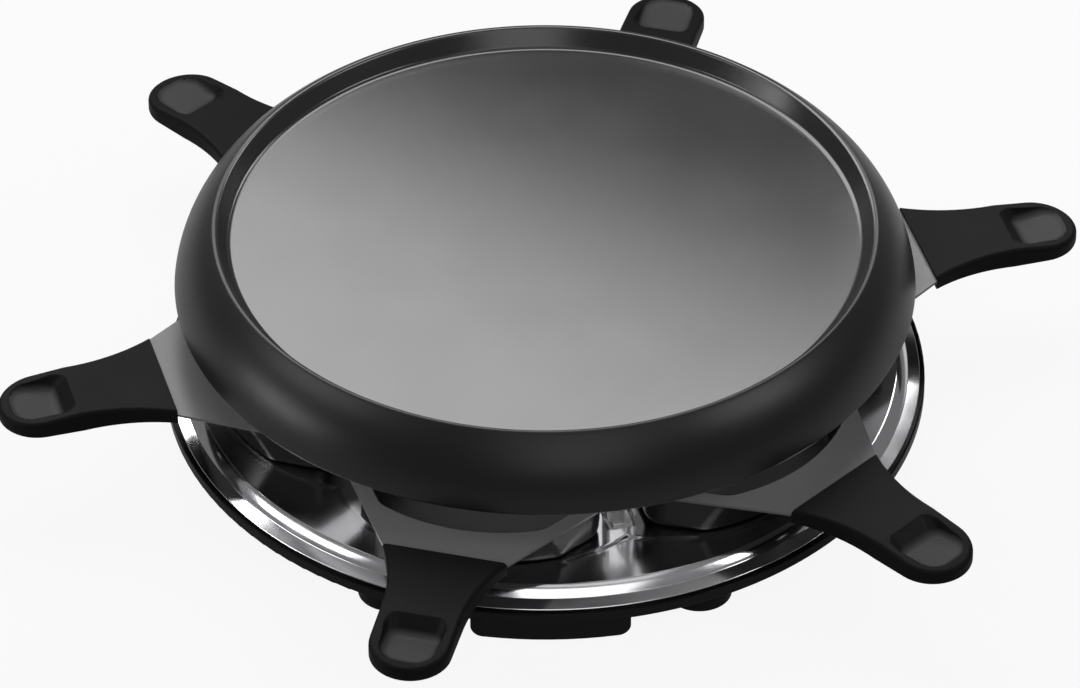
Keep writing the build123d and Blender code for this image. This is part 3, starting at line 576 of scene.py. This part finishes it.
def addLobes(piece):
    # one flat cone under each pan, sunk into the floor by a share of its rise
    lobe, floor = lobeShape, trayShape["floor"]
    length = 1 + lobe["sunkShare"]
    for number in range(panCount):
        angle = panAngle(number)
        bpy.ops.object.select_all(action="DESELECT")
        bpy.ops.mesh.primitive_cone_add(
            vertices=lobe["sides"], radius1=(lobe["radius"] + lobe["ramp"] * length) * mm,
            radius2=lobe["radius"] * mm, depth=lobe["rise"] * length * mm, location=(
                lobe["centre"] * math.cos(angle) * mm, lobe["centre"] * math.sin(angle) * mm,
                (floor + lobe["rise"] * (1 - lobe["sunkShare"]) / 2) * mm))
        joinOrCut(piece, bpy.context.object, "UNION")
    takeUp(piece)
    bpy.ops.object.mode_set(mode="EDIT")
    lobeTop = floor + lobe["rise"] - sameSpot
    pickFaces(piece, lambda spot, normal: spot.z > lobeTop and normal.z > lobe["facingUp"])
    bpy.ops.mesh.dissolve_limited(angle_limit=math.radians(lobe["flatAngle"]))
    bpy.ops.mesh.region_to_loop()
    bpy.ops.mesh.bevel(offset=lobe["round"][0] * mm, segments=lobe["round"][1], affect="EDGES")
    bpy.ops.object.mode_set(mode="OBJECT")


def buildTray():
    piece = turnTray()
    addLobes(piece)
    smoothPiece(piece)
    addMaterials(piece, "mirror_sheet")
    settle(piece, "base", "mirror_sheet", "reflector_tray")


buildTray()
print("reflector tray pressed")


# the pan handles: one is shaped along the X axis, then copied to the six places

handleShape = {"root": 169.3, "tip": 241.38, "top": 48.8, "bottom": 39.3, "rootBottom": 42.2,
               "rootHalf": 26.8, "waist": 208.0, "waistHalf": 17.3, "sagStart": 209.2, "sag": 3.4,
               "rootSteps": 10, "tipSteps": 12, "topEdge": (2.0, 5), "lowEdge": (1.1, 3),
               "facing": 0.9, "smoothAngle": 35}
scoopShape = {"start": 216.4, "end": 237.0, "half": 11.0, "low": 42.6, "high": 45.1, "draft": 2.5,
              "innerDraft": 6.8, "endDraft": 1.2, "corner": 4.5, "endCorner": 8.5, "cornerSteps": 8,
              "floorRound": (3.0, 6), "rimRound": (0.6, 3)}
rimZone = {"margin": 0.2, "level": 0.02, "lead": 2, "centreBack": 3, "clear": 8, "longest": 6}
scoopZone = {"below": 0.25, "facingUp": 0.02, "rim": 2.4}
screwRecess = {"reach": 178.8, "radius": 3.2, "seat": 43.8, "overrun": 2, "sides": 40}
# painted sheen and shade of the thumb scoop: a lighter floor colour, walls darkened by a share
scoopSheen = {"color": (0.034, 0.034, 0.0345), "roughness": 0.45, "specular": 0.08, "bump": 0.1,
               "wallShade": 0.2, "depths": (0.4, 2.4)}


def scoopSheenMaterial(name, finish, shape):
    # handle plastic with a painted sheen: lighter on the tilted floor of the thumb scoop, with painted shade
    # darkening its walls
    material = plasticMaterial(name, finish["color"], finish["roughness"], finish["specular"], finish["bump"])
    tree = material.node_tree
    parts = objectParts(tree)
    squares = [mathNode(tree, "MULTIPLY", parts[axis], parts[axis]) for axis in ("X", "Y")]
    reach = mathNode(tree, "POWER", mathNode(tree, "ADD", *squares), 0.5)
    slope = (shape["high"] - shape["low"]) / (shape["end"] - shape["start"])
    rise = mathNode(tree, "MULTIPLY", mathNode(tree, "SUBTRACT", reach, shape["start"] * mm), slope)
    above = mathNode(tree, "SUBTRACT", mathNode(tree, "SUBTRACT", parts["Z"], shape["low"] * mm), rise)
    edges = [depth * mm for depth in finish["depths"]]
    darkenColor(tree, rampNode(tree, above, edges, 1.0, finish["wallShade"]))
    return material


finishes["handle_scoop_sheen"] = scoopSheenMaterial("handleScoopPaintedSheen", scoopSheen, scoopShape)


def handleOutline(shape):
    # half outline by an arc from root to waist and a quarter circle to the tip, then mirrored
    run, gain = shape["waist"] - shape["root"], shape["rootHalf"] - shape["waistHalf"]
    bend = (run ** 2 + gain ** 2) / (2 * gain)
    half = []
    for step in range(shape["rootSteps"] + 1):
        back = run * (1 - step / shape["rootSteps"])
        half.append((shape["waist"] - back, shape["waistHalf"] + bend - math.sqrt(bend ** 2 - back ** 2)))
    centre = shape["tip"] - shape["waistHalf"]
    for step in range(shape["tipSteps"] + 1):
        angle = math.pi / 2 * (1 - step / shape["tipSteps"])
        half.append((centre + shape["waistHalf"] * math.cos(angle), shape["waistHalf"] * math.sin(angle)))
    return half + [(x, -y) for x, y in reversed(half[:-1])]


def handleTop(x):
    # height of the top, which sags towards the tip
    shape = handleShape
    sagRate = shape["sag"] / (shape["tip"] - shape["sagStart"])
    return shape["top"] - max(0, x - shape["sagStart"]) * sagRate


def handleBlank(shape):
    piece = drawnLine("handleShape", [(x, y, shape["top"]) for x, y in handleOutline(shape)])
    bpy.ops.mesh.select_all(action="SELECT")
    bpy.ops.mesh.edge_face_add()
    bpy.ops.mesh.extrude_region_move(TRANSFORM_OT_translate={
        "value": (0, 0, (shape["bottom"] - shape["top"]) * mm)})
    bpy.ops.mesh.select_all(action="SELECT")
    bpy.ops.mesh.normals_make_consistent(inside=False)
    # the underside rises to the root, and the top sags towards the tip
    rise, run = shape["rootBottom"] - shape["bottom"], shape["waist"] - shape["root"]
    bpy.ops.mesh.bisect(plane_co=(shape["waist"] * mm, 0, shape["bottom"] * mm),
                        plane_no=Vector((-rise, 0, -run)).normalized(), use_fill=True, clear_outer=True)
    bpy.ops.mesh.select_all(action="SELECT")
    sagNormal = Vector((shape["sag"], 0, shape["tip"] - shape["sagStart"])).normalized()
    bpy.ops.mesh.bisect(plane_co=(shape["sagStart"] * mm, 0, shape["top"] * mm), plane_no=sagNormal,
                        use_fill=True, clear_outer=True)
    return piece


def softenEdges(piece, shape):
    # top and lower outlines, except across the flat root
    rootEnd = (shape["root"] + smallestGap) * mm
    for side, (size, segments) in ((1, shape["topEdge"]), (-1, shape["lowEdge"])):
        pickFaces(piece, lambda spot, normal: normal.z * side > shape["facing"])
        bpy.ops.mesh.region_to_loop()
        bpy.ops.object.mode_set(mode="OBJECT")
        for line in piece.data.edges:
            if all(piece.data.vertices[index].co.x < rootEnd for index in line.vertices):
                line.select = False
        bpy.ops.object.mode_set(mode="EDIT")
        bpy.ops.mesh.bevel(offset=size * mm, segments=segments, affect="EDGES")
    bpy.ops.object.mode_set(mode="OBJECT")


def cutScoop(piece, shape):
    # a rounded floor is drawn up into walls that lean outwards, then tilted up to the tip
    middle, half = (shape["start"] + shape["end"]) / 2, (shape["end"] - shape["start"]) / 2
    bpy.ops.object.select_all(action="DESELECT")
    bpy.ops.mesh.primitive_plane_add(size=2 * mm)
    cutter = bpy.context.object
    bpy.ops.object.mode_set(mode="EDIT")
    bpy.ops.transform.resize(value=(half, shape["half"], 1))
    bpy.ops.transform.translate(value=(middle * mm, 0, shape["low"] * mm))
    for end, corner in ((-1, shape["corner"]), (1, shape["endCorner"])):
        pickVertices(cutter, lambda spot: (spot.x - middle) * end > half - smallestGap)
        bpy.ops.mesh.bevel(affect="VERTICES", offset=corner * mm, segments=shape["cornerSteps"])
    # the walls run on to twice the scoop's depth, so they lean twice as far
    bpy.ops.mesh.select_all(action="SELECT")
    bpy.ops.mesh.extrude_region_move(TRANSFORM_OT_translate={
        "value": (0, 0, 2 * (handleShape["top"] - shape["low"]) * mm)})
    wider = 1 + 2 * shape["draft"] / shape["half"]
    longer = 1 + (shape["innerDraft"] + shape["endDraft"]) / half
    bpy.ops.transform.resize(value=(longer, wider, 1))
    bpy.ops.transform.translate(value=((shape["endDraft"] - shape["innerDraft"]) * mm, 0, 0))
    pickFaces(cutter, lambda spot, normal: spot.z < shape["low"] + smallestGap)
    bpy.ops.transform.rotate(value=math.atan2(shape["high"] - shape["low"], 2 * half),
                             orient_axis="Y", orient_type="GLOBAL",
                             center_override=(shape["start"] * mm, 0, shape["low"] * mm))
    bpy.ops.mesh.region_to_loop()
    bpy.ops.mesh.bevel(offset=shape["floorRound"][0] * mm, segments=shape["floorRound"][1], affect="EDGES")
    bpy.ops.mesh.select_all(action="SELECT")
    bpy.ops.mesh.normals_make_consistent(inside=False)
    bpy.ops.object.mode_set(mode="OBJECT")
    joinOrCut(piece, cutter, "DIFFERENCE")


def drillScrewRecess(piece, recess):
    # from below, under the root
    bpy.ops.object.select_all(action="DESELECT")
    depth = recess["seat"] - handleShape["bottom"] + recess["overrun"]
    bpy.ops.mesh.primitive_cylinder_add(
        vertices=recess["sides"], radius=recess["radius"] * mm, depth=depth * mm,
        location=(recess["reach"] * mm, 0, (recess["seat"] - depth / 2) * mm))
    joinOrCut(piece, bpy.context.object, "DIFFERENCE")


def softenRim(piece, shape, scoop):
    # the edge between the scoop's walls and the top
    tipCentre = shape["tip"] - shape["waistHalf"]
    widest = shape["waistHalf"] - shape["topEdge"][0] - rimZone["margin"]
    middle = Vector(((scoop["start"] + scoop["end"]) / 2 - rimZone["centreBack"], 0))

    def onRim(spot):
        withinOutline = abs(spot.y) < widest and (
            spot.x < tipCentre or math.hypot(spot.x - tipCentre, spot.y) < widest)
        return abs(spot.z - handleTop(spot.x)) < rimZone["level"] and withinOutline and (
            spot.x > shape["sagStart"] - rimZone["lead"]) and (spot.xy - middle).length > rimZone["clear"]

    def shortOnRim(start, end):
        return onRim(start) and onRim(end) and (start - end).length < rimZone["longest"]

    takeUp(piece)
    bpy.ops.object.mode_set(mode="EDIT")
    pickEdges(piece, shortOnRim)
    bpy.ops.mesh.bevel(offset=scoop["rimRound"][0] * mm, segments=scoop["rimRound"][1], affect="EDGES")
    bpy.ops.object.mode_set(mode="OBJECT")


def paintScoopSheen(piece, shape, scoop):
    # the faces inside the scoop take the material with the painted sheen
    addMaterials(piece, "handle_plastic", "handle_scoop_sheen")
    tipCentre = shape["tip"] - shape["waistHalf"]
    for face in piece.data.polygons:
        spot = face.center / mm
        between = spot.x > shape["sagStart"] and abs(spot.y) < scoop["half"] + scoop["draft"]
        sunk = scoop["low"] - smallestGap < spot.z < handleTop(spot.x) - scoopZone["below"]
        insideRim = math.hypot(max(0, spot.x - tipCentre), spot.y) < shape["waistHalf"] - scoopZone["rim"]
        if between and sunk and insideRim and face.normal.z > scoopZone["facingUp"]:
            face.material_index = 1


def buildHandles():
    piece = handleBlank(handleShape)
    softenEdges(piece, handleShape)
    cutScoop(piece, scoopShape)
    drillScrewRecess(piece, screwRecess)
    softenRim(piece, handleShape, scoopShape)
    smoothPiece(piece, handleShape["smoothAngle"])
    paintScoopSheen(piece, handleShape, scoopShape)
    for number in range(panCount):
        copied = piece.copy()
        copied.data = piece.data.copy()
        copied.name = f"handleMoulding_{number + 1}"
        copied.data.transform(Matrix.Rotation(panAngle(number), 4, "Z"))
        bpy.context.scene.collection.objects.link(copied)
        settle(copied, f"pan_{number + 1}", "handle_plastic", f"pan_handle_{number + 1}")
    bpy.data.objects.remove(piece)


buildHandles()
print("handles shaped")


# camera at the photograph's place

cameraSettings = {"place": (0.0, -2.5193, 2.0425), "pitch": 38.64, "turn": 0.05, "lens": 248.17,
                  "sensor": 36.0, "nearest": 0.05, "farthest": 50.0}


def placeCamera():
    settings = cameraSettings
    data = bpy.data.cameras.new("photoCamera")
    data.sensor_width = settings["sensor"]
    data.sensor_fit = "HORIZONTAL"
    data.lens = settings["lens"]
    data.clip_start, data.clip_end = settings["nearest"], settings["farthest"]
    camera = bpy.data.objects.new("photoCamera", data)
    camera.location = settings["place"]
    camera.rotation_euler = (math.radians(90 - settings["pitch"]), 0, math.radians(settings["turn"]))
    bpy.context.scene.collection.objects.link(camera)
    bpy.context.scene.camera = camera


placeCamera()


# pale floor

floorSettings = {"size": 30, "height": -0.2, "color": (0.42, 0.42, 0.42), "roughness": 0.9, "specular": 0.1,
                 "cameraShare": 0.91, "glossyShare": 0.14, "white": 1.0}


def layFloor():
    settings = floorSettings
    bpy.ops.object.select_all(action="DESELECT")
    bpy.ops.mesh.primitive_plane_add(size=settings["size"], location=(0, 0, settings["height"] * mm))
    floor = bpy.context.object
    floor.name = "studioFloor"
    material, tree, shader, _ = startMaterial("paleFloor", settings["color"], settings["roughness"],
                                              specular=settings["specular"])
    # white where the camera, glossy and transmitted rays see it, with a soft part of the shadow kept
    rays = tree.nodes.new("ShaderNodeLightPath").outputs
    glow = tree.nodes.new("ShaderNodeEmission")
    glow.inputs["Strength"].default_value = settings["white"]
    mirrored = mathNode(tree, "MAXIMUM", rays["Is Glossy Ray"], rays["Is Transmission Ray"])
    straight = mathNode(tree, "MULTIPLY", rays["Is Camera Ray"], settings["cameraShare"])
    seen = mathNode(tree, "MAXIMUM", straight, mathNode(tree, "MULTIPLY", mirrored, settings["glossyShare"]))
    mix = tree.nodes.new("ShaderNodeMixShader")
    tree.links.new(seen, mix.inputs["Fac"])
    tree.links.new(shader.outputs["BSDF"], mix.inputs[1])
    tree.links.new(glow.outputs["Emission"], mix.inputs[2])
    tree.links.new(mix.outputs["Shader"], tree.nodes["Material Output"].inputs["Surface"])
    floor.data.materials.append(material)


layFloor()


# world and lamps

worldStrength = 0.17
lampSettings = {
    # mirrored in the well of the plate
    "backCard": {"place": (-0.148, 0.466, 0.7), "aim": (0.105, -0.29, 0.095), "size": (1.0, 0.5),
                 "edge": (0.9, 0, 0.436), "power": 7.7},
    "topCard": {"place": (0.13, -0.25, 1.25), "aim": (0.03, -0.15, 0.02), "size": (0.65, 0.5),
                "edge": (1, 0, 0), "power": 0.6},
    "frontCard": {"place": (0.16, -0.95, 0.85), "aim": (0.02, -0.15, 0.02), "size": (0.62, 0.9),
                  "edge": (1, 0, 0), "power": 2.4},
    "leftCard": {"place": (-0.98, -0.15, 0.84), "aim": (-0.1, -0.1, 0.03), "size": (0.6, 0.35),
                 "edge": (0.38, -0.83, 0.42), "power": 2.3},
    "rightCard": {"place": (0.95, -0.3, 0.84), "aim": (0.1, -0.1, 0.03), "size": (0.5, 0.4),
                  "edge": (0.38, 0.83, -0.42), "power": 2.8},
    # lights the left side of the skirt
    "lowLeftCard": {"place": (-1.2, -0.26, 0.2), "aim": (-0.1, -0.1, 0.08), "size": (0.5, 0.26),
                    "edge": (0, 1, 0), "power": 2.6},
    # lights the plate's bare underside, which the bright tray mirrors
    "underFill": {"place": (0, 0, 0.05), "aim": (0, 0, 0.1), "size": (0.24, 0.24),
                  "edge": (1, 0, 0), "power": 0.18},
    # lights the flange of the pan at the right
    "sideCard": {"place": (0.26, 0.3, 0.29), "aim": (0.16, 0, 0.047), "size": (0.18, 0.16),
                 "edge": (1, 0, 0), "power": 0.5},
}


def lightWorld():
    world = bpy.data.worlds.new("studioWorld")
    bpy.context.scene.world = world
    world.use_nodes = True
    background = world.node_tree.nodes["Background"]
    background.inputs["Color"].default_value = (1, 1, 1, 1)
    background.inputs["Strength"].default_value = worldStrength


def hangLamp(name, place, aim, size, edge, power):
    # a card that faces its aim, with one side along its edge
    data = bpy.data.lights.new(name, "AREA")
    data.shape = "RECTANGLE"
    data.size, data.size_y = size
    data.energy = power
    lamp = bpy.data.objects.new(name, data)
    lamp.location = place
    back = (Vector(place) - Vector(aim)).normalized()
    across = (Vector(edge) - back * back.dot(Vector(edge))).normalized()
    lamp.rotation_euler = Matrix((across, back.cross(across), back)).transposed().to_euler()
    lamp.visible_camera = False
    bpy.context.scene.collection.objects.link(lamp)


lightWorld()
for name, values in lampSettings.items():
    hangLamp(name, **values)
bpy.context.scene.view_settings.view_transform = "Standard"
print("camera, floor and lamps placed")
